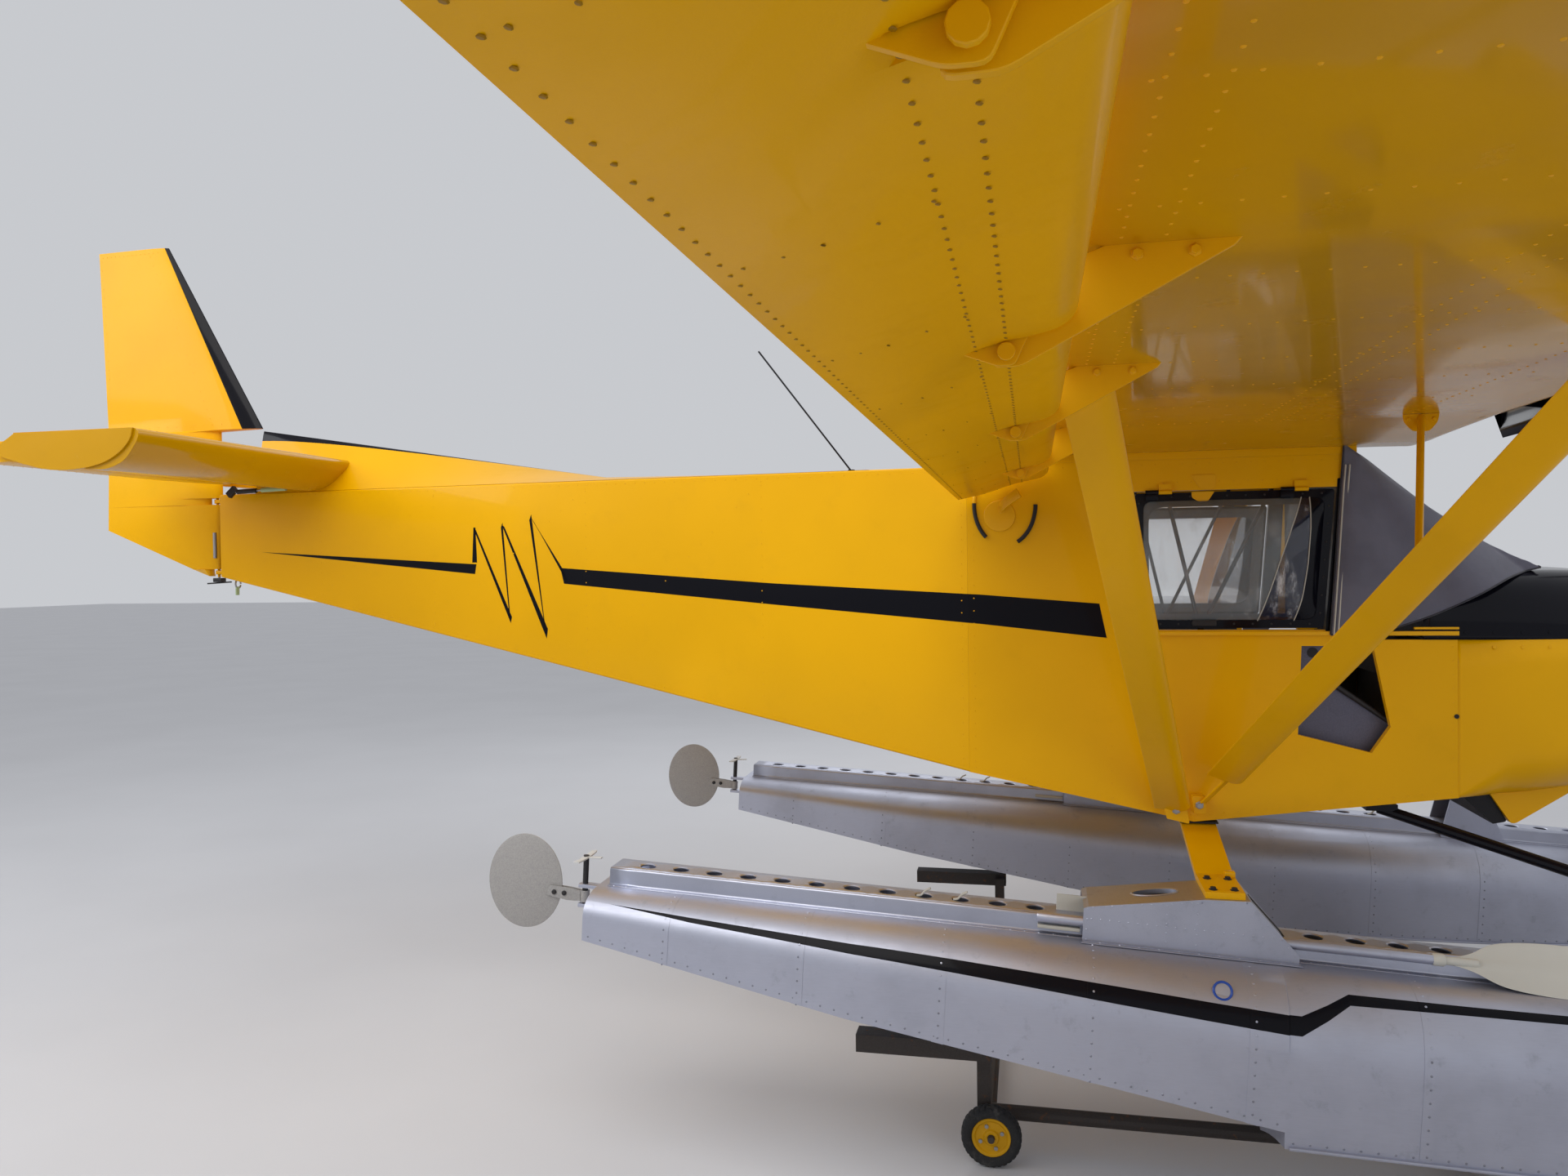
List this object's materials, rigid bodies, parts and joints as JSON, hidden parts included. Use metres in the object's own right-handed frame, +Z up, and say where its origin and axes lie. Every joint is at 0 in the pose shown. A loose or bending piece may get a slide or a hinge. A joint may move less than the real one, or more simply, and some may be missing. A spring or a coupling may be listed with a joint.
{
  "type": "floatplane",
  "caption": "Light high-wing floatplane with strut-braced wings, fixed slats, drooping flaperons, straight metal floats and a wheeled float dolly under it.",
  "frame": {"origin": "on the floor under the middle of the outline, midway between the floats", "axes": "+X towards the nose, +Y to port, +Z up"},
  "size_m": [7.0275, 8.23, 3.195],
  "materials": {
    "yellow_paint": "gloss",
    "black_paint": "gloss",
    "black_plastic": "matte",
    "dark_steel": "satin",
    "dolly_steel": "rough",
    "aluminium": "mill finish",
    "cast_metal": "cast",
    "grey_metal": "dull",
    "seat_cloth": "woven",
    "cover_cloth": "padded cloth",
    "clear_pane": "clear",
    "wheel_rubber": "worn"
  },
  "bodies": {
    "airframe": {"fuselage_rear": "yellow_paint", "dorsal_spine": "yellow_paint", "cabin_floor": "yellow_paint", "cabin_roof": "yellow_paint", "gear_spring": "yellow_paint", "stabilizer": "yellow_paint", "cowl_lower": "yellow_paint", "cowl_upper": "black_paint", "antenna": "black_paint", "instrument_panel": "black_plastic", "cabin_frame": "dark_steel", "control_stick": "dark_steel", "dolly_frame": "dolly_steel", "firewall": "aluminium", "spreader_bar": "aluminium", "paddle": "aluminium", "engine": "cast_metal", "seat": "seat_cloth", "windshield": "clear_pane", "windshield_cover": "cover_cloth", "cabin_side_right": "yellow_paint", "wing_right": "yellow_paint", "slat_right": "black_paint", "strut_front_right": "yellow_paint", "strut_rear_right": "yellow_paint", "jury_strut_right": "yellow_paint", "float_right": "aluminium", "deck_channel_right": "aluminium", "pylon_main_right": "aluminium", "pylon_front_right": "aluminium", "float_strut_right": "black_paint", "cabin_side_left": "yellow_paint", "wing_left": "yellow_paint", "slat_left": "black_paint", "strut_front_left": "yellow_paint", "strut_rear_left": "yellow_paint", "jury_strut_left": "yellow_paint", "float_left": "aluminium", "deck_channel_left": "aluminium", "pylon_main_left": "aluminium", "pylon_front_left": "aluminium", "float_strut_left": "black_paint"},
    "propeller": {"propeller": "black_paint"},
    "elevator": {"elevator": "yellow_paint"},
    "rudder": {"rudder": "yellow_paint"},
    "door_right": {"door_right": "clear_pane"},
    "flaperon_right": {"flaperon_right": "yellow_paint"},
    "water_rudder_right": {"water_rudder_right": "grey_metal"},
    "dolly_wheel_rear_right": {"dolly_wheel_rear_right": "wheel_rubber"},
    "dolly_wheel_front_right": {"dolly_wheel_front_right": "wheel_rubber"},
    "door_left": {"door_left": "clear_pane"},
    "flaperon_left": {"flaperon_left": "yellow_paint"},
    "water_rudder_left": {"water_rudder_left": "grey_metal"},
    "dolly_wheel_rear_left": {"dolly_wheel_rear_left": "wheel_rubber"},
    "dolly_wheel_front_left": {"dolly_wheel_front_left": "wheel_rubber"}
  },
  "joints": [
    {"name": "propeller_spin", "type": "hinge", "parent": "airframe", "child": "propeller", "pos_m": [2.493, 0, 1.57], "axis": [1, 0, 0], "continuous": true},
    {"name": "elevator_hinge", "type": "hinge", "parent": "airframe", "child": "elevator", "pos_m": [-2.781, 0, 2.18], "axis": [0, -1, 0], "range_deg": [-28, 25]},
    {"name": "rudder_hinge", "type": "hinge", "parent": "airframe", "child": "rudder", "pos_m": [-2.94, 0, 2.085], "axis": [0, 0, 1], "range_deg": [-20, 20]},
    {"name": "door_right_hinge", "type": "hinge", "parent": "airframe", "child": "door_right", "pos_m": [1.103, -0.528, 1.988], "axis": [-1, 0, 0], "range_deg": [0, 80]},
    {"name": "flaperon_right_hinge", "type": "hinge", "parent": "airframe", "child": "flaperon_right", "pos_m": [0.481, -2.04, 2.018], "axis": [0, -1, 0], "range_deg": [-15, 20]},
    {"name": "water_rudder_right_post", "type": "hinge", "parent": "airframe", "child": "water_rudder_right", "pos_m": [-0.8836, -0.927, 0.7535], "axis": [0.0578, 0, 0.9983], "range_deg": [-20, 20]},
    {"name": "dolly_wheel_rear_right_axle", "type": "hinge", "parent": "airframe", "child": "dolly_wheel_rear_right", "pos_m": [0.378, -0.93, 0.088], "axis": [0, 1, 0], "continuous": true},
    {"name": "dolly_wheel_front_right_axle", "type": "hinge", "parent": "airframe", "child": "dolly_wheel_front_right", "pos_m": [2.063, -0.7, 0.088], "axis": [0, 1, 0], "continuous": true},
    {"name": "door_left_hinge", "type": "hinge", "parent": "airframe", "child": "door_left", "pos_m": [1.103, 0.528, 1.988], "axis": [1, 0, 0], "range_deg": [0, 80]},
    {"name": "flaperon_left_hinge", "type": "hinge", "parent": "airframe", "child": "flaperon_left", "pos_m": [0.481, 2.04, 2.018], "axis": [0, -1, 0], "range_deg": [-15, 20]},
    {"name": "water_rudder_left_post", "type": "hinge", "parent": "airframe", "child": "water_rudder_left", "pos_m": [-0.8836, 0.927, 0.7535], "axis": [0.0578, 0, 0.9983], "range_deg": [-20, 20]},
    {"name": "dolly_wheel_rear_left_axle", "type": "hinge", "parent": "airframe", "child": "dolly_wheel_rear_left", "pos_m": [0.378, 0.93, 0.088], "axis": [0, 1, 0], "continuous": true},
    {"name": "dolly_wheel_front_left_axle", "type": "hinge", "parent": "airframe", "child": "dolly_wheel_front_left", "pos_m": [2.063, 0.7, 0.088], "axis": [0, 1, 0], "continuous": true}
  ],
  "couplings": [
    {"joint": "water_rudder_right_post", "follows": "rudder_hinge", "ratio": 1},
    {"joint": "water_rudder_left_post", "follows": "rudder_hinge", "ratio": 1}
  ]
}
